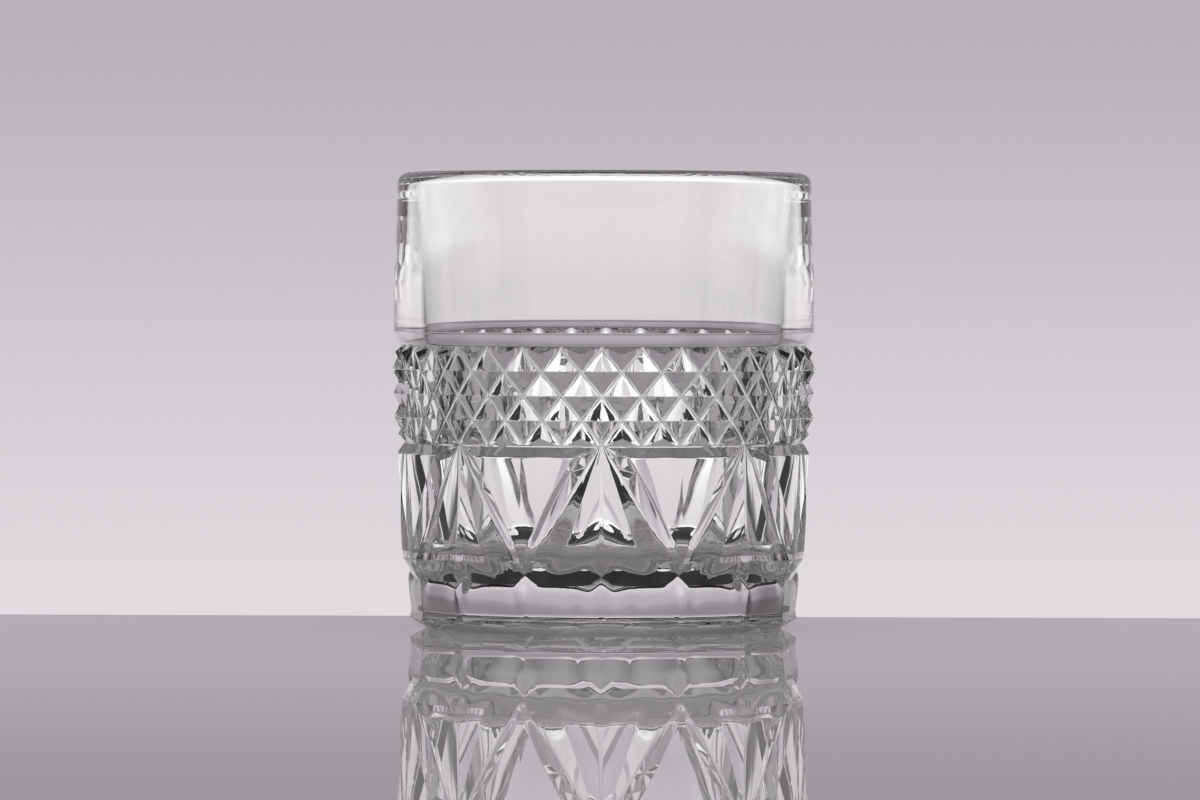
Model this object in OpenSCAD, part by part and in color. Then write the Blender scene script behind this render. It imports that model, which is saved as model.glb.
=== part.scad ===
// Pressed crystal whiskey tumbler.
// One piece of glass, drawn as six zones that meet face to face.
// Origin: centre of the resting plane. +Z is up. One fan faces -Y.

/* [Overall] */
// Height from the table to the top of the lip
glass_h = 95; // [92:0.5:100]
// Radius of the plain wall at its widest
wall_r = 44; // [43.6:0.1:44.4]

/* [Lip and plain wall] */
// How much the outside narrows from its widest to the lip
lip_taper = 0.63; // [0.3:0.01:1]
// Radius of the lip's outer rounding
lip_round = 2.4; // [1.8:0.1:2.6]
// Radius of the lip's inner rounding
lip_inner_round = 1.2; // [0.8:0.1:1.2]
// Height of the plain wall's lower edge
wall_edge_z = 61.4; // [61:0.1:62]
// Radius at the foot of the sloping neck
neck_r = 43.1; // [42.8:0.1:43.4]

/* [Drinking cavity] */
// Height of the cavity floor
floor_z = 15; // [13:0.5:16]
// Radius of the rounding between the floor and the wall
floor_round = 4; // [3:0.5:8]
// Radius of the cavity level with the plain wall's lower edge
cavity_r = 37.2; // [36.5:0.1:37.6]
// Slope of the cavity wall, radius gained per mm of height
cavity_slope = 0.08; // [0.07:0.01:0.09]
// Slope of the cavity wall where it starts to flare
flare_slope = 0.045; // [0.03:0.005:0.05]
// Flare of the cavity towards the mouth, per mm squared
cavity_flare = 0.0017; // [0.001:0.0001:0.0018]

/* [Diamond belt] */
// Diamonds round the belt
diamonds = 32; // [24:8:40]
// Height of one whole diamond
diamond_h = 10; // [9.6:0.1:10]
// Height of each point above the bottom of its grooves
diamond_depth = 2.4; // [1.8:0.1:2.6]
// Height of the belt's top edge
belt_top_z = 59; // [58.8:0.1:59.2]
// Radius of the groove bottoms at the belt's lower edge
groove_r = 41.4; // [41:0.1:41.6]
// Radius gained by the groove bottoms per mm of height
groove_taper = 0.04; // [0.02:0.01:0.05]

/* [Fans and shield panels] */
// Fans round the wall
fans = 8; // [8]
// Radius of the smooth shield panels at their top edge
panel_r = 43.3; // [43:0.1:43.5]
// Height of the shield panels' top edge
panel_top_z = 36.6; // [36:0.1:37]
// Sideways run of a fan's outer groove per mm of drop
outer_run = 0.62; // [0.6:0.01:0.63]
// Sideways run of a fan's inner ridge per mm of drop
ridge_run = 0.345; // [0.32:0.005:0.36]
// Width of the bevel between a panel and the groove beside it
bevel_w = 4.1; // [3.6:0.1:4.4]

/* [Base and foot] */
// Radius of the rolled edge under the fans
roll_r = 4; // [3.5:0.1:4.5]
// Flat faces round the foot
foot_faces = 16; // [16]
// Corner radius of the foot where it leaves the rolled edge
foot_top_r = 41.4; // [41.3:0.1:41.6]
// Corner radius of the foot at its waist
foot_waist_r = 40.3; // [40:0.1:40.5]
// Corner radius of the foot's flared lower edge
foot_edge_r = 40.6; // [40.4:0.1:40.8]
// Outer radius of the ring that stands on the table
contact_r = 37.1; // [36:0.1:38]
// Depth of the hollow under the base
hollow_h = 1.2; // [0.8:0.1:1.5]
// Rays of the star cut under the base
star_rays = 16; // [12:4:24]

/* [Hidden] */

$fn = 96;
glass = [0.86, 0.88, 0.9];

// Heights of the planes between the zones
rim_z = 90;
fan_top_z = belt_top_z - 2 * diamond_h - 0.1;
foot_top_z = 10.2;

// Where the cavity starts to flare, and where the plain wall starts to narrow
flare_z = 63.5;
taper_start_z = 74;

// The neck and the groove above the belt
edge_round = 0.5;
belt_chamfer = 1.17;
belt_low_chamfer = 0.85;

// The fans' cuts meet at a point on the belt's lowest row of groove crossings
half_fan = 180 / fans;
fan_apex_z = belt_top_z - 2 * diamond_h + 0.3;
valley_r = 41.8;
valley_z = fan_top_z - 0.3;
ridge_h = 1.4;
ridge_reach = 6.5;
groove_rise = 0.35;
facet_reach = 1.4;
corner_gap = 0.1;
bevel_slope = (panel_r - groove_r) / bevel_w;

// The envelope narrows slightly below the panels
roll_z = 14.5;
envelope_low_r = 42.9;
narrow_z = 24;
narrow_r = panel_r - 0.2;
full_z = 30;
roll_steps = 8;

// Foot
foot_arris_z = 12.3;
waist_z = 3.8;
edge_z = 2;
contact_w = 1.7;
hollow_slope_w = 2.4;
dome_h = 0.7;
dome_share = 0.7;
star_out_r = 31;
star_depth = 0.9;

// Points of a circular arc from angle a0 to a1, in n steps
function arc(c, r, a0, a1, n) =
    [for (i = [0:n]) let (a = a0 + (a1 - a0) * i / n) c + r * [cos(a), sin(a)]];

// Radius of the cavity wall at height z
function cavity(z) =
    let (up = max(0, z - flare_z))
    cavity_r + cavity_slope * (min(z, flare_z) - wall_edge_z) + flare_slope * up + cavity_flare * up * up;

// Radius of the plain wall at height z: straight, then slightly in to the lip
function plain_r(z) =
    let (t = max(0, (z - taper_start_z) / (glass_h - lip_round - taper_start_z)))
    wall_r - lip_taper * t * (2 - t);

// Cavity outline from the floor's centre to height top
function cavity_outline(top) =
    let (side = cavity(floor_z + floor_round), c = [side - floor_round, floor_z + floor_round])
    concat(
        [[0, floor_z]],
        arc(c, floor_round, -90, 0, 8),
        [for (i = [1:8]) let (z = c.y + (top - c.y) * i / 8) [cavity(z), z]]
    );

module cavity_space(top) {
    outline = cavity_outline(top);
    rotate_extrude() polygon(concat(outline, [[0, top]]));
}

// Solid of revolution from the axis out to the points of an outline
module turned(outline) {
    last = outline[len(outline) - 1];
    rotate_extrude() polygon(concat([[0, outline[0].y]], outline, [[0, last.y]]));
}

// Closed solid round the axis. rings[i][j] are the points of ring i, lowest ring first.
module stacked(rings) {
    n = len(rings[0]);
    m = len(rings);
    points = [for (ring = rings) for (p = ring) p];
    sides = [
        for (i = [0:m - 2], j = [0:n - 1])
            let (a = i * n + j, b = i * n + (j + 1) % n, c = b + n, d = a + n)
            each (norm(points[a] - points[c]) < norm(points[b] - points[d])
                ? [[a, c, b], [a, d, c]]
                : [[a, d, b], [b, d, c]])
    ];
    floor_face = [for (j = [0:n - 1]) j];
    roof_face = [for (j = [n - 1:-1:0]) (m - 1) * n + j];
    polyhedron(points, concat(sides, [floor_face, roof_face]));
}

function on_ring(r, a, z) = [r * sin(a), -r * cos(a), z];

// ---- Zones ----

module rim_lip() {
    color(glass)
    rotate_extrude()
    polygon(concat(
        [[cavity(rim_z), rim_z], [plain_r(rim_z), rim_z]],
        arc([plain_r(glass_h - lip_round) - lip_round, glass_h - lip_round], lip_round, 0, 90, 6),
        arc([cavity(glass_h) + lip_inner_round, glass_h - lip_inner_round], lip_inner_round, 90, 175, 4)
    ));
}

module plain_wall() {
    edge_c = [plain_r(wall_edge_z) - edge_round, wall_edge_z + edge_round];
    steps = 8;
    color(glass)
    rotate_extrude()
    polygon(concat(
        [[neck_r, belt_top_z]],
        arc(edge_c, edge_round, -60, 0, 4),
        [for (i = [1:steps]) let (z = edge_c.y + (rim_z - edge_c.y) * i / steps) [plain_r(z), z]],
        [for (i = [steps:-1:0]) let (z = belt_top_z + (rim_z - belt_top_z) * i / steps) [cavity(z), z]]
    ));
}

// Groove crossings and diamond points alternate along each row and from row to row
function belt_point(row, k) =
    let (
        z = belt_top_z - row * diamond_h / 2,
        crossing_r = groove_r + groove_taper * (z - belt_top_z + 2 * diamond_h),
        r = abs(row + k) % 2 == 0 ? crossing_r : crossing_r + diamond_depth
    )
    on_ring(r, k * 180 / diamonds, z);

module diamond_lattice() {
    n = 2 * diamonds;
    rings = [for (row = [5:-1:-1]) [for (k = [0:n - 1]) belt_point(row, k)]];
    m = len(rings);
    points = [for (ring = rings) for (p = ring) p];
    // Each cell is split along its groove, which joins two crossings
    sides = [
        for (i = [0:m - 2], j = [0:n - 1])
            let (a = i * n + j, b = i * n + (j + 1) % n, c = b + n, d = a + n)
            each ((i + j) % 2 == 1
                ? [[a, c, b], [a, d, c]]
                : [[a, d, b], [b, d, c]])
    ];
    polyhedron(points, concat(sides, [
        [for (j = [0:n - 1]) j],
        [for (j = [n - 1:-1:0]) (m - 1) * n + j]
    ]));
}

module diamond_belt() {
    out_r = wall_r + 3;
    margin = 0.1;
    collar = 0.2;
    top_r = groove_r + groove_taper * 2 * diamond_h + margin;
    low_r = valley_r + margin;
    color(glass)
    difference() {
        intersection() {
            diamond_lattice();
            turned([
                [low_r, fan_top_z],
                [low_r, fan_top_z + collar],
                [out_r, fan_top_z + collar + (out_r - low_r) / belt_low_chamfer],
                [out_r, belt_top_z - collar - (out_r - top_r) / belt_chamfer],
                [top_r, belt_top_z - collar],
                [top_r, belt_top_z]
            ]);
        }
        cavity_space(belt_top_z + 1);
    }
}

// Height of the ridge between two grooves of a fan above the groove bottoms
function ridge_r(z) = groove_r + ridge_h * (1 - exp((z - fan_apex_z) / ridge_reach));

// Half of a fan at height z, as [angle, radius] from its centre groove to the panel's centre line
function half_fan_line(z) =
    let (
        drop = fan_apex_z - z,
        to_angle = 180 / (PI * panel_r),
        edge = half_fan / to_angle,
        groove_x = min(outer_run * drop, edge - 3 * corner_gap),
        beyond_x = min(groove_x + facet_reach * bevel_w, edge - corner_gap),
        share = max(0, drop / (fan_apex_z - floor_z))
    )
    [
        [0, groove_r + groove_rise * share * sqrt(share)],
        [ridge_run * drop * to_angle, ridge_r(z)],
        [groove_x * to_angle, groove_r],
        [beyond_x * to_angle, groove_r + (beyond_x - groove_x) * bevel_slope],
        [half_fan, groove_r + (beyond_x - groove_x + corner_gap) * bevel_slope]
    ];

// Whole ring of points at height z: each half fan, then its mirror image
function fan_ring(z) =
    let (line = half_fan_line(z), n = len(line) - 1)
    [
        for (f = [0:fans - 1]) each concat(
            [for (i = [0:n]) on_ring(line[i][1], 2 * f * half_fan + line[i][0], z)],
            [for (i = [n - 1:-1:1]) on_ring(line[i][1], 2 * (f + 1) * half_fan - line[i][0], z)]
        )
    ];

module fan_cuts(low, high) {
    steps = ceil((high - low) / 2);
    stacked([for (i = [0:steps]) fan_ring(low + (high - low) * i / steps)]);
}

// Outline of the glass below the belt, before the fans are cut
function envelope(low, high) =
    [
        for (p = concat(
            arc([envelope_low_r - roll_r, roll_z], roll_r, -75, 0, roll_steps),
            [[narrow_r, narrow_z], [panel_r, full_z], [panel_r, panel_top_z]],
            [[valley_r, valley_z], [valley_r, fan_top_z]]
        ))
            if (p.y >= low && p.y <= high) p
    ];

function envelope_r(z) = envelope_low_r + (narrow_r - envelope_low_r) * (z - roll_z) / (narrow_z - roll_z);

module fan_wall() {
    color(glass)
    difference() {
        intersection() {
            fan_cuts(floor_z - 1, fan_top_z + 0.2);
            turned(concat([[envelope_r(floor_z), floor_z]], envelope(floor_z + 0.01, fan_top_z)));
        }
        cavity_space(fan_top_z + 1);
    }
}

// Corner radius of the foot at height z, straight from its waist to its top corners
function foot_r(z) = foot_waist_r + (foot_top_r - foot_waist_r) * (z - waist_z) / (foot_arris_z - waist_z);

function foot_ring(r, z) = [for (k = [0:foot_faces - 1]) on_ring(r, k * 360 / foot_faces, z)];

module solid_base() {
    color(glass)
    intersection() {
        union() {
            intersection() {
                fan_cuts(foot_top_z - 1, floor_z + 1);
                turned(envelope(0, 40));
            }
            stacked([foot_ring(foot_r(foot_top_z - 1), foot_top_z - 1), foot_ring(foot_top_r, foot_arris_z)]);
        }
        translate([0, 0, foot_top_z]) cylinder(r = wall_r + 1, h = floor_z - foot_top_z);
    }
}

// A square bar on its edge cuts a V that is deepest at the centre and runs out at the star's rim
module star_ray() {
    bar = 3;
    tilt = atan((star_depth + dome_h) / star_out_r);
    translate([0, 0, hollow_h + dome_h + star_depth])
    rotate([0, tilt, 0])
    rotate([45, 0, 0])
    translate([0, -bar, -bar])
    cube([star_out_r, bar, bar]);
}

module facet_foot() {
    bevel_out = 5;
    color(glass)
    difference() {
        intersection() {
            stacked([
                foot_ring(foot_edge_r, 0),
                foot_ring(foot_edge_r, edge_z),
                foot_ring(foot_waist_r, waist_z),
                foot_ring(foot_r(foot_top_z), foot_top_z)
            ]);
            turned([
                [contact_r, 0],
                [contact_r + bevel_out, bevel_out * edge_z / (foot_edge_r - contact_r)],
                [contact_r + bevel_out, foot_top_z]
            ]);
        }
        hollow_r = contact_r - contact_w;
        translate([0, 0, -1])
        rotate_extrude()
        polygon([
            [0, 0],
            [hollow_r, 0],
            [hollow_r, 1],
            [hollow_r - hollow_slope_w, 1 + hollow_h],
            [hollow_r / 2, 1 + hollow_h + dome_share * dome_h],
            [0, 1 + hollow_h + dome_h]
        ]);
        for (k = [0:star_rays - 1]) rotate([0, 0, (k + 0.5) * 360 / star_rays]) star_ray();
    }
}

rim_lip();
plain_wall();
diamond_belt();
fan_wall();
solid_base();
facet_foot();
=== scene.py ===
"""Whiskey tumbler: one continuous piece of pressed crystal on a pale glossy plate.

The glass is drawn as a 22.5 degree wedge, from the middle of a fan to the middle of a shield
panel, and that wedge is mirrored and turned sixteen times. Lengths in the shape code are
millimetres and angles are degrees from the -Y side; the finished mesh is in metres.
"""
import math

import bmesh
import bpy
import numpy as np
from mathutils import Matrix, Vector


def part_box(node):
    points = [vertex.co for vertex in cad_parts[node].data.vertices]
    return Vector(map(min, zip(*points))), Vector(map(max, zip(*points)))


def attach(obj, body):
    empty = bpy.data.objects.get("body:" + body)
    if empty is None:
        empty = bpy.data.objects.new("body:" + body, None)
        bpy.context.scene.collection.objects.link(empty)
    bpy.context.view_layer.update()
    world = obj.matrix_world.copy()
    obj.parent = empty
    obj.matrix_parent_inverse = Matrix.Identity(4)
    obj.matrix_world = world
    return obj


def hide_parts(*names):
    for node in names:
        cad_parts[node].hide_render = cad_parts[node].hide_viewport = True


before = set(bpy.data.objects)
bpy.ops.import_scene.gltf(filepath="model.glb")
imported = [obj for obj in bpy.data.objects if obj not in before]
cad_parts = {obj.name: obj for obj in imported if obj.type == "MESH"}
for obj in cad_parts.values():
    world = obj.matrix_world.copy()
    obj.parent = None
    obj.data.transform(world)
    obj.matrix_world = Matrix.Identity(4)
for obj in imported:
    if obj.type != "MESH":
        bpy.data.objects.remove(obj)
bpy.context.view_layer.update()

MM = 0.001

# ---------------------------------------------------------------- sizes, from the frame


def top_of(node):
    """Highest point of a CAD zone, in millimetres."""
    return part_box(node)[1].z / MM


GLASS_H = top_of("rim_lip")
BELT_TOP = top_of("diamond_belt")
FLOOR_Z = top_of("solid_base")
WALL_R = 44.0

FANS = 8
WEDGE = 180 / FANS
DIAMONDS = 32
HALF_DIAMOND = 180 / DIAMONDS
ROW_H = 5.0
ROWS = 4

# Lip and plain wall
LIP_ROUND, LIP_INNER_ROUND, LIP_TAPER, TAPER_START = 2.4, 1.2, 0.63, 74.0
EDGE_Z, EDGE_ROUND = 61.4, 0.5
# The neck runs down to the belt: radius, and height over the belt
NECK = [(43.3, 0.7), (43.12, 0.3), (42.95, 0.12), (42.7, 0.03)]

# Cavity
CAVITY_R, CAVITY_SLOPE = 37.2, 0.08
FLARE_Z, FLARE_SLOPE, FLARE, FLARE_BLEND = 63.5, 0.045, 0.0017, 0.3
FLOOR_ROUND = 4.0

# Diamond belt
GROOVE_R, GROOVE_TAPER, DIAMOND_DEPTH = 41.4, 0.04, 2.4
BELT_TOP_R, BELT_LOW_R = 42.3, 41.85
BELT_ROUND, POINT_ROUND = 0.55, 0.16

# Fans and panels
APEX_Z, PANEL_R, PANEL_TOP, VALLEY_R, VALLEY_Z = 39.3, 43.3, 36.6, 41.8, 38.6
# Downward, the panels lean in by PANEL_LEAN from PANEL_LEAN_Z to PANEL_BEND_Z, then run straight
# to the radius and height of ENVELOPE_LOW
PANEL_LEAN_Z, PANEL_BEND_Z, PANEL_LEAN, PANEL_ROUND = 30.0, 24.0, 0.2, 0.25
ENVELOPE_LOW_R, ENVELOPE_LOW_Z = 42.9, 14.5
OUTER_RUN, RIDGE_RUN, RIDGE_H, RIDGE_REACH = 0.62, 0.345, 1.4, 6.5
MIDDLE_RISE, OUTER_RISE = 0.35, 0.6
BEVEL_W = 4.1
BEVEL_SLOPE = (PANEL_R - GROOVE_R) / BEVEL_W
FAN_ROUND, RIDGE_ROUND = 0.5, 0.12
HALF_W = math.radians(WEDGE) * PANEL_R

# Rolled edge and foot
MELT_TOP, MELT_ROUND = 22.0, 1.8
ROLL_START, ROLL_BLEND = 0.3, 0.28
SHOULDER_IN, SHOULDER_H, MIDDLE_IN, MIDDLE_W = 0.45, 1.2, 0.8, 3.5
CORNER_ROUND, CORNER_BEND, LINE_DROP = 0.25, 0.4, 0.25
ROLL_TOP, SCALLOP_LOW, SCALLOP_RISE, SCALLOP_W = 16.2, 10.4, 1.9, 1.7
ARRIS_Z, ARRIS_TOP_R, WAIST_Z, WAIST_R, EDGE_R, FOOT_EDGE_Z = 12.3, 41.4, 3.8, 40.3, 40.6, 2.0
FACE_END_Z = WAIST_Z + 0.9
CONTACT_R, CONTACT_W, HOLLOW_W, HOLLOW_H, DOME_H = 37.1, 1.7, 2.4, 1.2, 0.7
CONTACT_EDGE = (CONTACT_R + 0.25, 0.13)
STAR_R, STAR_DEPTH, STAR_ROUND = 31.0, 0.9, 0.25
# Rings of vertices across the star, from its outer end to the middle
STAR_RINGS = [31, 29, 26.5, 24, 21.5, 19, 16.5, 14, 11.5, 9.5, 7.5, 6, 5, 4.2, 3.4, 2.6, 1.8, 1, 0.4, 0]
TURNED_STEPS = 24


# ---------------------------------------------------------------- shape helpers


def at(r, a, z):
    """Point at a radius, an angle and a height."""
    a = math.radians(a)
    return np.array([r * math.sin(a), -r * math.cos(a), z])


def angle_of(p):
    return math.degrees(math.atan2(p[0], -p[1]))


def chord(a, a1, r1, a2, r2):
    """Radius at angle a of the straight line between two points in polar form."""
    if abs(a2 - a1) < 1e-9:
        return r1

    def sine(x):
        return math.sin(math.radians(x))

    return r1 * r2 * sine(a2 - a1) / (r1 * sine(a - a1) + r2 * sine(a2 - a))


def soften(t, reach, bend):
    """How much a corner moves at distance t from it, when it is rounded over reach on each side."""
    return bend * (reach - t) ** 2 / (4 * reach) if t < reach else 0.0


def arc(cr, cz, radius, start, end, steps):
    """Points round part of a circle, in radius and height."""
    angles = [math.radians(start + (end - start) * i / steps) for i in range(steps + 1)]
    return [(cr + radius * math.cos(a), cz + radius * math.sin(a)) for a in angles]


class Wedge:
    """Patches of the wedge's surface, as points and faces."""

    def __init__(self):
        self.points, self.faces = [], []

    def grid(self, rows):
        start, width = len(self.points), len(rows[0])
        for row in rows:
            self.points.extend(row)
        for i in range(len(rows) - 1):
            for j in range(width - 1):
                a = start + i * width + j
                self.faces.append((a, a + 1, a + width + 1, a + width))

    def turned(self, outline, steps=TURNED_STEPS):
        """Surface of revolution of (radius, height) points."""
        self.grid([[at(r, WEDGE * j / steps, z) for j in range(steps + 1)] for r, z in outline])

    def zip(self, one, two):
        """Triangles between two rows of points that both run from angle 0 to the wedge's end."""
        start = len(self.points)
        self.points.extend(one)
        self.points.extend(two)
        a1, a2 = [angle_of(p) for p in one], [angle_of(p) for p in two]
        i, j, n1, n2 = 0, 0, len(one), len(two)
        while i < n1 - 1 or j < n2 - 1:
            if j == n2 - 1 or (i < n1 - 1 and a1[i + 1] <= a2[j + 1]):
                self.faces.append((start + i, start + i + 1, start + n1 + j))
                i += 1
            else:
                self.faces.append((start + i, start + n1 + j + 1, start + n1 + j))
                j += 1


def ring_at(r, z, steps=TURNED_STEPS):
    return [at(r, WEDGE * j / steps, z) for j in range(steps + 1)]


# ---------------------------------------------------------------- cavity, lip and plain wall


def cavity_r(z):
    """The cavity is a cone up to FLARE_Z and flares more and more above it."""
    up = max(0.0, z - FLARE_Z)
    return CAVITY_R + CAVITY_SLOPE * (min(z, FLARE_Z) - EDGE_Z) + FLARE_SLOPE * up + FLARE * up * up


def plain_r(z):
    t = max(0.0, (z - TAPER_START) / (GLASS_H - LIP_ROUND - TAPER_START))
    return WALL_R - LIP_TAPER * t * (2 - t)


def smooth_parts(w):
    side = cavity_r(FLOOR_Z + FLOOR_ROUND)
    floor_r = side - FLOOR_ROUND
    floor = [(floor_r * i / 6, FLOOR_Z) for i in range(6)]
    corner = arc(floor_r, FLOOR_Z + FLOOR_ROUND, FLOOR_ROUND, -90, 0, 14)
    wall_top = GLASS_H - LIP_INNER_ROUND
    start = FLOOR_Z + FLOOR_ROUND
    cone_end, flare_start = FLARE_Z - FLARE_BLEND, FLARE_Z + FLARE_BLEND
    heights = [start + (cone_end - start) * i / 8 for i in range(1, 9)]
    heights += [FLARE_Z - FLARE_BLEND / 3, FLARE_Z + FLARE_BLEND / 3]
    heights += [flare_start + (wall_top - flare_start) * i / 20 for i in range(21)]
    wall = [(cavity_r(z), z) for z in heights]
    lip_in = arc(cavity_r(GLASS_H) + LIP_INNER_ROUND, wall_top, LIP_INNER_ROUND, 175, 90, 7)
    lip_out = arc(plain_r(GLASS_H - LIP_ROUND) - LIP_ROUND, GLASS_H - LIP_ROUND, LIP_ROUND, 90, 0, 12)
    low = EDGE_Z + EDGE_ROUND
    high = lip_out[-1][1]
    outer = [(plain_r(z), z) for z in [high + (low - high) * i / 16 for i in range(1, 17)]]
    edge = arc(plain_r(EDGE_Z) - EDGE_ROUND, low, EDGE_ROUND, 0, -60, 5)[1:]
    neck = [(r, BELT_TOP + up) for r, up in NECK]
    w.turned(floor + corner + wall + lip_in[1:] + lip_out + outer + edge + neck)
    return ring_at(*neck[-1])


# ---------------------------------------------------------------- diamond belt

# Places along a groove, and from a groove to a point, where a facet has vertices
ALONG = [0, 0.02, 0.05, 0.5, 0.95, 0.98, 1]
ACROSS = [0, 0.058, 0.117, 0.18, 0.5, 0.89, 0.955, 1]
# Share of the way from groove to point where the belt's edge cuts a facet: at its side, then its tip
TOP_CUT = (0.042, 0.7125)
LOW_CUT = (0.19, 0.705)
# Places from a groove to that cut where the facet has vertices
TO_CUT = [0, 0.05, 0.1, 0.17, 0.5, 0.8, 1]


def lattice(u, v):
    """A diamond's point where u + v is odd, and a groove crossing where it is even."""
    z = BELT_TOP - ROW_H * v
    r = GROOVE_R + GROOVE_TAPER * (z - BELT_TOP + ROWS * ROW_H)
    return at(r + (DIAMOND_DEPTH if (u + v) % 2 else 0), HALF_DIAMOND * u, z)


HALF_WIDE = math.radians(HALF_DIAMOND) * BELT_TOP_R
GROOVE_DIST = HALF_WIDE * ROW_H / math.hypot(HALF_WIDE, ROW_H)


def on_facet(a, b, p, weights):
    """Point of a diamond's facet with its creases rounded. a and b are groove crossings, p the point."""
    wa, wb, wp = weights
    place = wa * a + wb * b + wp * p
    fade = min(1.0, wp / ACROSS[2])
    shift = soften(wp * GROOVE_DIST, BELT_ROUND, 2 * DIAMOND_DEPTH / GROOVE_DIST)
    shift -= fade * soften(wb * ROW_H, POINT_ROUND, 2 * DIAMOND_DEPTH / ROW_H)
    shift -= fade * soften(wa * HALF_WIDE, POINT_ROUND, 2 * DIAMOND_DEPTH / HALF_WIDE)
    r = math.hypot(place[0], place[1])
    place[:2] *= (r + shift) / r
    return place


def facet(w, peak, side, tip):
    """One face of a diamond: peak, then the crossing beside it and the one above or below it."""
    p, a, b = lattice(*peak), lattice(*side), lattice(*tip)
    if 0 < peak[1] < ROWS:
        w.grid([[on_facet(a, b, p, ((1 - h) * (1 - q), (1 - h) * q, h)) for q in ALONG] for h in ACROSS])
        return
    cut, edge_r = (TOP_CUT, BELT_TOP_R) if peak[1] == 0 else (LOW_CUT, BELT_LOW_R)

    def to_cut(q, t):
        h = t * (cut[0] + (cut[1] - cut[0]) * q)
        foot_a, foot_b = (1 - q), q
        cut_a, cut_b = (1 - cut[0]) * (1 - q), (1 - cut[1]) * q
        return on_facet(a, b, p, ((1 - t) * foot_a + t * cut_a, (1 - t) * foot_b + t * cut_b, h))

    w.grid([[to_cut(q, t) for q in ALONG] for t in TO_CUT])
    brim = [to_cut(q, 1) for q in ALONG]
    z = p[2]
    ends = [at(edge_r, angle_of(k), z) if i else k for i, k in enumerate(brim)]
    w.grid([[k + (e - k) * t for k, e in zip(brim, ends)] for t in (0, 0.5, 1)])


def belt(w):
    """All the diamonds of the wedge. Returns the belt's top and bottom rims."""
    first = len(w.points)
    for v in range(ROWS):
        for u in range(int(WEDGE / HALF_DIAMOND)):
            if (u + v) % 2 == 0:
                facet(w, (u + 1, v), (u, v), (u + 1, v + 1))
                facet(w, (u, v + 1), (u + 1, v + 1), (u, v))
            else:
                facet(w, (u, v), (u + 1, v), (u, v + 1))
                facet(w, (u + 1, v + 1), (u, v + 1), (u + 1, v))
    made = np.array(w.points[first:])

    def rim(z):
        picked = sorted(made[abs(made[:, 2] - z) < 1e-6].tolist(), key=angle_of)
        kept = [picked[0]]
        for p in picked[1:]:
            if math.dist(p, kept[-1]) > 1e-4:
                kept.append(p)
        return [np.array(p) for p in kept]

    return rim(BELT_TOP), rim(BELT_TOP - ROWS * ROW_H)


# ---------------------------------------------------------------- fans and shield panels


def envelope(z):
    """Radius of the uncut glass below the belt: the bevel over the panels, then the panels."""
    steep = (PANEL_R - VALLEY_R) / (VALLEY_Z - PANEL_TOP)
    bevel = VALLEY_R + (PANEL_R - VALLEY_R) * (VALLEY_Z - z) / (VALLEY_Z - PANEL_TOP)
    bend_r = PANEL_R - PANEL_LEAN
    if z > PANEL_BEND_Z:
        panel = PANEL_R - PANEL_LEAN * max(0.0, PANEL_LEAN_Z - z) / (PANEL_LEAN_Z - PANEL_BEND_Z)
    else:
        up = (z - ENVELOPE_LOW_Z) / (PANEL_BEND_Z - ENVELOPE_LOW_Z)
        panel = ENVELOPE_LOW_R + (bend_r - ENVELOPE_LOW_R) * up
    if z > VALLEY_Z:
        return VALLEY_R
    return min(panel, bevel) - soften(abs(z - PANEL_TOP), PANEL_ROUND, steep)


def to_angle(x):
    return math.degrees(x / PANEL_R)


def features(z):
    """Creases across half a fan at height z: (distance from the fan's middle, radius, rounding)."""
    drop = APEX_Z - z
    melt = max(0.0, (MELT_TOP - z) / (MELT_TOP - ROLL_TOP)) ** 2 * MELT_ROUND
    groove_x = min(OUTER_RUN * drop, HALF_W)
    ridge_x = RIDGE_RUN * drop
    share = max(0.0, drop / (APEX_Z - ROLL_TOP))
    middle_r = GROOVE_R + MIDDLE_RISE * share**1.5
    outer_r = GROOVE_R + OUTER_RISE * share**4
    ridge_r = GROOVE_R + RIDGE_H * (1 - math.exp(-drop / RIDGE_REACH))
    edge_x = groove_x + (envelope(z) - outer_r) / BEVEL_SLOPE
    edge_r = envelope(z)
    if edge_x >= HALF_W:
        edge_x, edge_r = HALF_W, outer_r + (HALF_W - groove_x) * BEVEL_SLOPE
    return [
        (0.0, middle_r, FAN_ROUND + melt),
        (ridge_x, ridge_r, RIDGE_ROUND + melt),
        (groove_x, outer_r, FAN_ROUND + melt),
        (edge_x, edge_r, RIDGE_ROUND + melt),
        (HALF_W, edge_r, RIDGE_ROUND + melt),
    ]


def fan_surface(x, z):
    """Radius of the fan-cut wall at distance x from a fan's middle."""
    f = features(z)
    i = 0
    while i < 3 and x > f[i + 1][0] + 1e-9 and f[i + 2][0] - f[i + 1][0] > 1e-6:
        i += 1
    (x1, r1, round1), (x2, r2, round2) = f[i], f[i + 1]
    if i == 3:
        r = envelope(z) if x2 - x1 > 1e-6 else r1
    else:
        r = chord(to_angle(x), to_angle(x1), r1, to_angle(x2), r2)

    def slope(k):
        return (f[k + 1][1] - f[k][1]) / max(f[k + 1][0] - f[k][0], 1e-6) if k < 3 else 0.0

    here = slope(i)
    before = slope(i - 1) if i else -here
    after = slope(i + 1) if i < 2 else (0.0 if i == 2 and f[3][0] < HALF_W - 1e-6 else -here)
    if i == 3:
        after = 0.0
    width = max(x2 - x1, 1e-6)
    r += soften(x - x1, min(round1, width / 2), here - before)
    r += soften(x2 - x, min(round2, width / 2), after - here)
    return r


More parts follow.
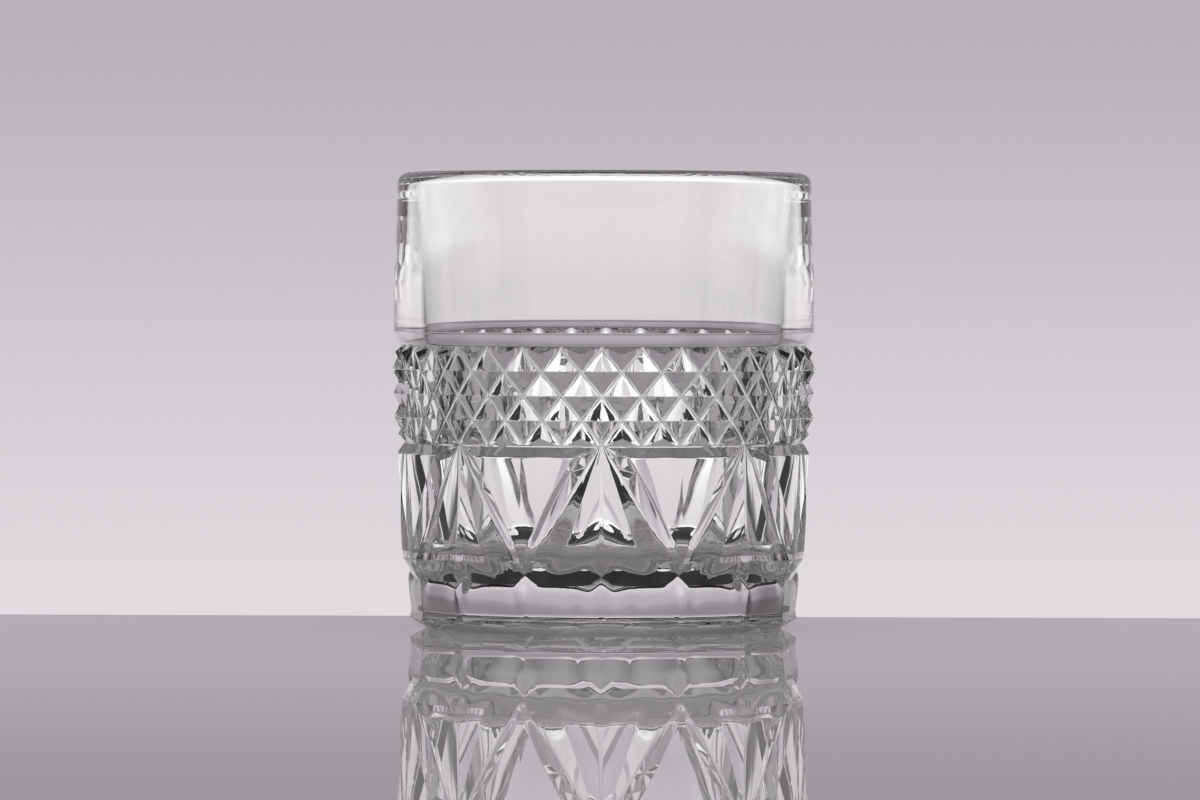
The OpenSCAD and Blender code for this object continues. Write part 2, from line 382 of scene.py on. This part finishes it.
def column_places(z):
    """Distances from the fan's middle where the columns of vertices stand at height z."""
    f = features(z)
    places = [0.0]
    for (x1, _, round1), (x2, _, round2) in zip(f, f[1:]):
        width = x2 - x1
        a, b = min(round1, width / 2.5), min(round2, width / 2.5)
        inner = [a, a + (width - a - b) / 3, a + (width - a - b) * 2 / 3, width - b]
        places += [x1 + x for x in [a / 3, a * 2 / 3, *inner, width - b / 2, width]]
    return places


def fan_point(x, z):
    return at(fan_surface(x, z), to_angle(x), z)


# The tip is somewhere between these heights
TIP_RANGE = (15.5, 25.0)


def tip_height():
    """Height where a panel's two sides meet, found by halving."""
    low, high = TIP_RANGE
    for _ in range(40):
        mid = (low + high) / 2
        low, high = (low, mid) if features(mid)[3][0] < HALF_W - 1e-9 else (mid, high)
    return high


def fan_wall(w):
    tip = tip_height()
    top = BELT_TOP - ROWS * ROW_H - 0.15
    # Heights of the rows of vertices: closer together over the bevel and round the panels' top edge
    heights = [top, VALLEY_Z, 38.3, 37.9, 37.4, 37, 36.85, 36.72, PANEL_TOP, 36.48, 36.35, 36, 35.2, 34]
    heights += [32.5, 31, 29.5, 28, 26.5, 25, 23.5, 22, 20.5, 19.3, tip + 0.5, tip, tip - 0.6, ROLL_TOP]
    rows = [[fan_point(x, z) for x in column_places(z)] for z in heights]
    w.grid(rows)
    return rows[0]


# ---------------------------------------------------------------- rolled edge and foot


def scallop(x):
    """Height of the scalloped line, which peaks at the foot's corners."""
    near = min(x, HALF_W - x)
    return SCALLOP_LOW + SCALLOP_RISE * math.exp(-((near / SCALLOP_W) ** 2))


def foot_r(x, z):
    """Flat faces between corners that stand under the fans' and panels' middles."""
    if z > WAIST_Z:
        corner = WAIST_R + (ARRIS_TOP_R - WAIST_R) * (z - WAIST_Z) / (ARRIS_Z - WAIST_Z)
    else:
        t = (WAIST_Z - z) / (WAIST_Z - FOOT_EDGE_Z)
        corner = WAIST_R + (EDGE_R - WAIST_R) * t * t
    near = min(x, HALF_W - x)
    deepest = SHOULDER_IN + MIDDLE_IN * math.exp(-((x / MIDDLE_W) ** 2))
    tuck = deepest * math.exp(-max(0.0, scallop(x) - z) / SHOULDER_H)
    return chord(to_angle(x), 0, corner, WEDGE, corner) - soften(near, CORNER_ROUND, CORNER_BEND) - tuck


def roll_columns(t):
    """Places and heights at share t of the way from the fan wall down to the scalloped line."""
    count = len(column_places(ROLL_TOP))
    made = []
    for j in range(count):
        z = ROLL_TOP
        for _ in range(8):
            x = column_places(z)[j]
            z = ROLL_TOP - t * (ROLL_TOP - scallop(x))
        made.append((x, z))
    return made


def base_and_foot(w):
    rows = []
    for t in (0, 0.05, 0.12, 0.19, 0.26, 0.33, 0.4, 0.48, 0.57, 0.7, 0.85, 1):
        row = []
        for x, z in roll_columns(t):
            foot = foot_r(x, scallop(x))
            under = max(0.0, t - ROLL_START) + soften(abs(t - ROLL_START), ROLL_BLEND, 1.0)
            r = foot + (fan_surface(x, z) - foot) * (1 - under / (1 - ROLL_START))
            row.append(at(r, to_angle(x), z))
        rows.append(row)
    w.grid(rows)
    line = rows[-1]
    places = [x for x, _ in roll_columns(1)]
    # The faces, on evenly spread columns
    steps = 24
    even = [HALF_W * i / steps for i in range(steps + 1)]
    even = sorted({0.0, 0.12, CORNER_ROUND, HALF_W - CORNER_ROUND, HALF_W - 0.12, HALF_W, *even})
    starts = [scallop(x) - LINE_DROP for x in even]
    below = [at(foot_r(x, z), to_angle(x), z) for x, z in zip(even, starts)]
    w.zip(line, below)
    rows = [below]
    for share in (0.1, 0.2, 0.33, 0.5, 0.75, 1):
        heights = [z + (FACE_END_Z - z) * share for z in starts]
        rows.append([at(foot_r(x, z), to_angle(x), z) for x, z in zip(even, heights)])
    for z in (WAIST_Z, 3.3, 2.8, 2.4):
        rows.append([at(foot_r(x, z), to_angle(x), z) for x in even])
    tip_r = [foot_r(x, FOOT_EDGE_Z) for x in even]
    tip_z = [FOOT_EDGE_Z * (r - CONTACT_R) / (EDGE_R - CONTACT_R) for r in tip_r]
    for up, inward in ((0.12, 0.0), (0.03, 0.03), (-0.04, 0.12)):
        rows.append([at(r - inward, to_angle(x), z + up) for x, r, z in zip(even, tip_r, tip_z)])
    w.grid(rows)
    w.zip(rows[-1], ring_at(*CONTACT_EDGE))


def dome(r):
    """Height of the hollow under the base."""
    hollow_r = CONTACT_R - CONTACT_W - HOLLOW_W
    return HOLLOW_H + DOME_H * (1 - (r / hollow_r) ** 2)


def underside(w):
    """The contact ring, the shallow hollow and the star cut in it."""
    hollow_r = CONTACT_R - CONTACT_W
    shoulder = hollow_r - HOLLOW_W
    outline = [CONTACT_EDGE, (CONTACT_R + 0.1, 0.03), (CONTACT_R - 0.1, 0.0)]
    outline += [(hollow_r + 0.15, 0.0), (hollow_r, 0.05), (hollow_r - 0.6, 0.38)]
    outline += [(shoulder + 0.5, dome(shoulder) - 0.22), (shoulder, dome(shoulder))]
    outline += [(shoulder - 0.8, dome(shoulder - 0.8))]
    w.turned(outline)
    start = STAR_R + 0.4
    w.turned([outline[-1], (start, dome(start))])
    middle = WEDGE / 2
    rows = []
    for r in [start, *STAR_RINGS]:
        depth = max(0.0, STAR_DEPTH * (1 - r / STAR_R))
        reach = min(middle, math.degrees(math.asin(min(1.0, depth / max(r, 1e-6)))))
        reach = max(reach, 0.02)
        row = []
        for share in (-1, -0.5, 0):
            row.append((middle - reach) * (1 + share))
        row += [middle + reach * s for s in (-0.66, -0.33, -0.16, 0, 0.16, 0.33, 0.66)]
        row += [middle + reach + (middle - reach) * s for s in (0, 0.5, 1)]
        line = []
        for a in row:
            y = abs(r * math.sin(math.radians(a - middle)))
            bend = 2.0 if depth > 0 else 0.0
            up = max(0.0, depth - y) - soften(y, min(STAR_ROUND, depth / 2 + 1e-3), bend)
            line.append(at(r, a, dome(r) + max(0.0, up)))
        rows.append(line)
    w.zip(ring_at(start, dome(start)), rows[0])
    w.grid(rows)


# ---------------------------------------------------------------- the whole glass


def glass_mesh():
    """The whole tumbler as one closed mesh, in metres."""
    w = Wedge()
    neck_end = smooth_parts(w)
    belt_top, belt_low = belt(w)
    w.zip(neck_end, belt_top)
    fan_top = fan_wall(w)
    w.zip(belt_low, fan_top)
    base_and_foot(w)
    underside(w)

    points = np.array(w.points) * MM
    faces = w.faces
    mesh = bpy.data.meshes.new("tumbler_glass")
    bm = bmesh.new()
    for k in range(2 * FANS):
        mirrored = k % 2 == 1
        turn = math.radians(WEDGE * (k + 1 if mirrored else k))
        local = points.copy()
        if mirrored:
            local[:, 0] *= -1
        c, s = math.cos(turn), math.sin(turn)
        xs, ys = local[:, 0] * c - local[:, 1] * s, local[:, 0] * s + local[:, 1] * c
        verts = [bm.verts.new(p) for p in zip(xs, ys, local[:, 2])]
        for face in faces:
            order = face[::-1] if mirrored else face
            bm.faces.new([verts[i] for i in order])
    bmesh.ops.remove_doubles(bm, verts=bm.verts, dist=1.5e-6)
    bmesh.ops.dissolve_degenerate(bm, dist=1e-6, edges=bm.edges)
    bmesh.ops.triangulate(bm, faces=bm.faces)
    bmesh.ops.recalc_face_normals(bm, faces=bm.faces)
    if bm.calc_volume(signed=True) < 0:
        bmesh.ops.reverse_faces(bm, faces=bm.faces)
    bm.to_mesh(mesh)
    bm.free()
    return mesh


def glass_object(material):
    mesh = glass_mesh()
    mesh.shade_smooth()
    mesh.set_sharp_from_angle(angle=math.radians(28))
    glass = bpy.data.objects.new("tumbler_glass", mesh)
    bpy.context.scene.collection.objects.link(glass)
    weighted = glass.modifiers.new("facet_normals", "WEIGHTED_NORMAL")
    weighted.mode = "FACE_AREA_WITH_ANGLE"
    weighted.weight = 80
    weighted.keep_sharp = True
    mesh.materials.append(material)
    return glass


# ---------------------------------------------------------------- materials

CRYSTAL_INDEX = 1.54
POLISH_SCALE, POLISH_DETAIL, POLISH_LOW, POLISH_HIGH, MOST_ROUGH = 60, 3, 0.35, 0.75, 0.02
WAVE_SCALE, WAVE_DETAIL, WAVE_STRENGTH, WAVE_HEIGHT = 90, 1, 0.12, 0.00004
PLATE_INDEX = 1.5


def crystal():
    """Clear crystal: faint surface waves left by the mould, and small changes of polish."""
    mat = bpy.data.materials.new("crystal")
    mat.use_nodes = True
    nodes, links = mat.node_tree.nodes, mat.node_tree.links
    shader = nodes["Principled BSDF"]
    shader.inputs["Base Color"].default_value = (1, 1, 1, 1)
    shader.inputs["Transmission Weight"].default_value = 1.0
    shader.inputs["IOR"].default_value = CRYSTAL_INDEX
    place = nodes.new("ShaderNodeTexCoord")
    polish = nodes.new("ShaderNodeTexNoise")
    polish.inputs["Scale"].default_value = POLISH_SCALE
    polish.inputs["Detail"].default_value = POLISH_DETAIL
    spread = nodes.new("ShaderNodeMapRange")
    spread.inputs["From Min"].default_value = POLISH_LOW
    spread.inputs["From Max"].default_value = POLISH_HIGH
    spread.inputs["To Min"].default_value = 0.0
    spread.inputs["To Max"].default_value = MOST_ROUGH
    waves = nodes.new("ShaderNodeTexNoise")
    waves.inputs["Scale"].default_value = WAVE_SCALE
    waves.inputs["Detail"].default_value = WAVE_DETAIL
    bump = nodes.new("ShaderNodeBump")
    bump.inputs["Strength"].default_value = WAVE_STRENGTH
    bump.inputs["Distance"].default_value = WAVE_HEIGHT
    links.new(place.outputs["Object"], polish.inputs["Vector"])
    links.new(place.outputs["Object"], waves.inputs["Vector"])
    links.new(polish.outputs["Fac"], spread.inputs["Value"])
    links.new(spread.outputs["Result"], shader.inputs["Roughness"])
    links.new(waves.outputs["Fac"], bump.inputs["Height"])
    links.new(bump.outputs["Normal"], shader.inputs["Normal"])
    return mat


def plate_material(name, colour, roughness, gloss):
    mat = bpy.data.materials.new(name)
    mat.use_nodes = True
    shader = mat.node_tree.nodes["Principled BSDF"]
    shader.inputs["Base Color"].default_value = colour
    shader.inputs["Roughness"].default_value = roughness
    shader.inputs["Specular IOR Level"].default_value = gloss
    shader.inputs["IOR"].default_value = PLATE_INDEX
    return mat


# ---------------------------------------------------------------- scene

glass = glass_object(crystal())
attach(glass, "root")
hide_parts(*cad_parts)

# A pale glossy plate, whose back edge shows just behind the foot, a hair below the glass
PLATE_BACK, PLATE_FRONT, PLATE_SIDE, PLATE_THICK = 0.042, -0.75, 0.7, 0.012
PLATE_TOP, PLATE_ROUND, PLATE_COLOUR = -0.00002, 0.0015, (0.52, 0.495, 0.52, 1)
# A small dark card behind the plate
LOW_CARD_SIDE, LOW_CARD_BACK, LOW_CARD_TOP, LOW_CARD_COLOUR = 0.06, 0.1, -0.001, (0.01, 0.01, 0.01, 1)
# Two soft lights overhead: width and depth, place, and the power of each
BOX_SIZE, BOX_PLACE, SHADOW_POWER, CLEAR_POWER = (1.6, 1.2), (0, -0.2, 1.3), 9, 8


def slab(name, side, front, back, top, material):
    """A slab with rounded edges between the given front and back."""
    bpy.ops.mesh.primitive_cube_add(size=1)
    board = bpy.context.active_object
    board.name = name
    board.scale = (2 * side, back - front, PLATE_THICK)
    board.location = (0, (back + front) / 2, top - PLATE_THICK / 2)
    bpy.ops.object.transform_apply(location=True, scale=True)
    rounding = board.modifiers.new("rounded_edges", "BEVEL")
    rounding.width = PLATE_ROUND
    rounding.segments = 3
    board.data.materials.append(material)
    return board


def plate():
    pale = plate_material("pale_gloss", PLATE_COLOUR, 0.0, 0.5)
    slab("plate", PLATE_SIDE, PLATE_FRONT, PLATE_BACK, PLATE_TOP, pale)


def low_card():
    """A dark card behind the plate, which is seen only through the glass, as dark shapes in it."""
    black = plate_material("dark_matte", LOW_CARD_COLOUR, 1.0, 0.0)
    card = slab("dark_card", LOW_CARD_SIDE, PLATE_BACK, LOW_CARD_BACK, LOW_CARD_TOP, black)
    card.visible_camera = False
    card.visible_glossy = False
    card.visible_diffuse = False
    card.visible_shadow = False


def soft_box(name, power, shadows):
    """A soft light overhead, which lights the plate and isn't mirrored in the glass."""
    light = bpy.data.lights.new(name, "AREA")
    light.shape = "RECTANGLE"
    light.size, light.size_y = BOX_SIZE
    light.energy = power
    light.use_shadow = shadows
    box = bpy.data.objects.new(name, light)
    box.location = BOX_PLACE
    box.visible_glossy = False
    box.visible_transmission = False
    box.visible_camera = False
    bpy.context.scene.collection.objects.link(box)


plate()
low_card()
# Clear glass lets much of the light through, so only a part of it casts a shadow
soft_box("soft_box", SHADOW_POWER, True)
soft_box("light_through_glass", CLEAR_POWER, False)


# Light at each elevation, in degrees, as red, green and blue. The open backdrop is the straight
# run from -3 to 2.5 degrees
LIGHT = [
    (-90, (0.78, 0.77, 0.78)),
    (-30, (0.86, 0.85, 0.86)),
    (-24, (0.98, 0.97, 0.98)),
    (-18, (1.22, 1.21, 1.22)),
    (-15, (1.22, 1.21, 1.22)),
    (-13, (1.05, 1.03, 1.05)),
    (-10, (0.82, 0.79, 0.82)),
    (-6.5, (0.78, 0.75, 0.78)),
    (-4.5, (0.74, 0.715, 0.74)),
    (-3, (0.75, 0.72, 0.75)),
    (2.5, (0.47, 0.43, 0.47)),
    (3.3, (0.475, 0.435, 0.475)),
    (3.8, (0.4, 0.365, 0.4)),
    (4.6, (0.265, 0.24, 0.265)),
    (9, (0.29, 0.275, 0.29)),
    (18, (0.33, 0.32, 0.33)),
    (28, (0.26, 0.25, 0.26)),
    (42, (0.12, 0.12, 0.12)),
    (90, (0.1, 0.1, 0.1)),
]
# Dark cards on each side that only the glass and the plate see. Each one fades in and out between
# degrees to either side of straight behind the glass, and fades in upward
SIDE_CARDS = [(44, 54, 78, 86), (100, 108, 122, 130)]
SIDE_CARD_LOW, SIDE_CARD_HIGH, SIDE_CARD_LIGHT = -24, -16, 0.06
# The light from in front is a little dimmer
FRONT_START, FRONT_FULL, FRONT_LIGHT = 124, 134, 0.8
# Low light is brightest straight behind the glass
GLOW_FULL, GLOW_END, GLOW_LOW, GLOW_TOP, SIDE_GLOW = 20, 38, -14, -10, 0.66
# The backdrop that the camera sees has neither cards nor glow, and is dimmed where it is low
DIM_LOW, DIM_HIGH, DIM = -12, -6, 0.35


def backdrop():
    """World light. The camera sees a plain gradient, and the glass and plate see the cards as well."""
    world = bpy.data.worlds.new("studio")
    bpy.context.scene.world = world
    world.use_nodes = True
    nodes, links = world.node_tree.nodes, world.node_tree.links
    ground = nodes["Background"]

    def math_node(kind, first, second=None, third=None):
        node = nodes.new("ShaderNodeMath")
        node.operation = kind
        for socket, value in zip(node.inputs, (first, second, third)):
            if isinstance(value, (int, float)):
                socket.default_value = value
            elif value is not None:
                links.new(value, socket)
        return node.outputs[0]

    def between(value, low, high):
        node = nodes.new("ShaderNodeMapRange")
        node.interpolation_type = "SMOOTHSTEP"
        node.inputs["From Min"].default_value = low
        node.inputs["From Max"].default_value = high
        links.new(value, node.inputs["Value"])
        return node.outputs["Result"]

    place = nodes.new("ShaderNodeTexCoord")
    split = nodes.new("ShaderNodeSeparateXYZ")
    links.new(place.outputs["Generated"], split.inputs["Vector"])
    elevation = math_node("DEGREES", math_node("ARCSINE", split.outputs["Z"]))
    azimuth = math_node("DEGREES", math_node("ARCTAN2", split.outputs["X"], split.outputs["Y"]))
    share = math_node("MULTIPLY_ADD", elevation, 1 / 180, 0.5)
    ramp = nodes.new("ShaderNodeValToRGB")
    elements = ramp.color_ramp.elements
    while len(elements) > 1:
        elements.remove(elements[-1])
    for i, (degrees, colour) in enumerate(LIGHT):
        stop = elements[0] if i == 0 else elements.new((degrees + 90) / 180)
        stop.position = (degrees + 90) / 180
        stop.color = (*colour, 1)
    links.new(share, ramp.inputs["Fac"])
    turn = math_node("ABSOLUTE", azimuth)
    cards = 0.0
    for rise, full, fall, end in SIDE_CARDS:
        card = math_node("SUBTRACT", between(turn, rise, full), between(turn, fall, end))
        cards = math_node("ADD", card, cards)
    cards = math_node("MULTIPLY", cards, between(elevation, SIDE_CARD_LOW, SIDE_CARD_HIGH))
    lit = math_node("MULTIPLY_ADD", cards, SIDE_CARD_LIGHT - 1, 1.0)
    front = math_node("MULTIPLY_ADD", between(turn, FRONT_START, FRONT_FULL), FRONT_LIGHT - 1, 1.0)
    lit = math_node("MULTIPLY", lit, front)
    glow = math_node("MULTIPLY", between(turn, GLOW_FULL, GLOW_END), 1 - SIDE_GLOW)
    glow = math_node("MULTIPLY", glow, math_node("SUBTRACT", 1, between(elevation, GLOW_LOW, GLOW_TOP)))
    lit = math_node("MULTIPLY", lit, math_node("SUBTRACT", 1, glow))
    open_light = math_node("MULTIPLY_ADD", between(elevation, DIM_LOW, DIM_HIGH), DIM, 1 - DIM)
    direct = nodes.new("ShaderNodeLightPath").outputs["Is Camera Ray"]
    lit = math_node("MULTIPLY_ADD", direct, math_node("SUBTRACT", open_light, lit), lit)
    tinted = nodes.new("ShaderNodeVectorMath")
    tinted.operation = "SCALE"
    links.new(ramp.outputs["Color"], tinted.inputs[0])
    links.new(lit, tinted.inputs["Scale"])
    links.new(tinted.outputs["Vector"], ground.inputs["Color"])
    ground.inputs["Strength"].default_value = 1.0
    return world


backdrop()


# The camera's distance and height in metres, its angles in degrees, and its lens in millimetres
CAMERA_AWAY, CAMERA_UP = 1.31, 0.072
CAMERA_TURN, CAMERA_TILT, CAMERA_SWING, CAMERA_ROLL = 0.6, -1.07, 0.035, 0.15
CAMERA_LENS, CAMERA_SENSOR = 187.5, 36
LIGHT_BOUNCES, GLOSSY_BOUNCES = 32, 12


def camera():
    """Nearly level and a long way off, turned a little so that the front fan sits left of the axis."""
    data = bpy.data.cameras.new("camera")
    data.sensor_width = CAMERA_SENSOR
    data.lens = CAMERA_LENS
    eye = bpy.data.objects.new("camera", data)
    bpy.context.scene.collection.objects.link(eye)
    turn = math.radians(CAMERA_TURN)
    eye.location = (CAMERA_AWAY * math.sin(turn), -CAMERA_AWAY * math.cos(turn), CAMERA_UP)
    look = Matrix.Rotation(turn + math.radians(CAMERA_SWING), 3, "Z")
    look = look @ Matrix.Rotation(math.radians(90 + CAMERA_TILT), 3, "X")
    look = look @ Matrix.Rotation(math.radians(CAMERA_ROLL), 3, "Z")
    eye.rotation_euler = look.to_euler()
    bpy.context.scene.camera = eye


camera()

scene = bpy.context.scene
scene.view_settings.view_transform = "Standard"
scene.cycles.max_bounces = LIGHT_BOUNCES
scene.cycles.transmission_bounces = LIGHT_BOUNCES
scene.cycles.glossy_bounces = GLOSSY_BOUNCES
scene.cycles.caustics_refractive = True
scene.cycles.caustics_reflective = True
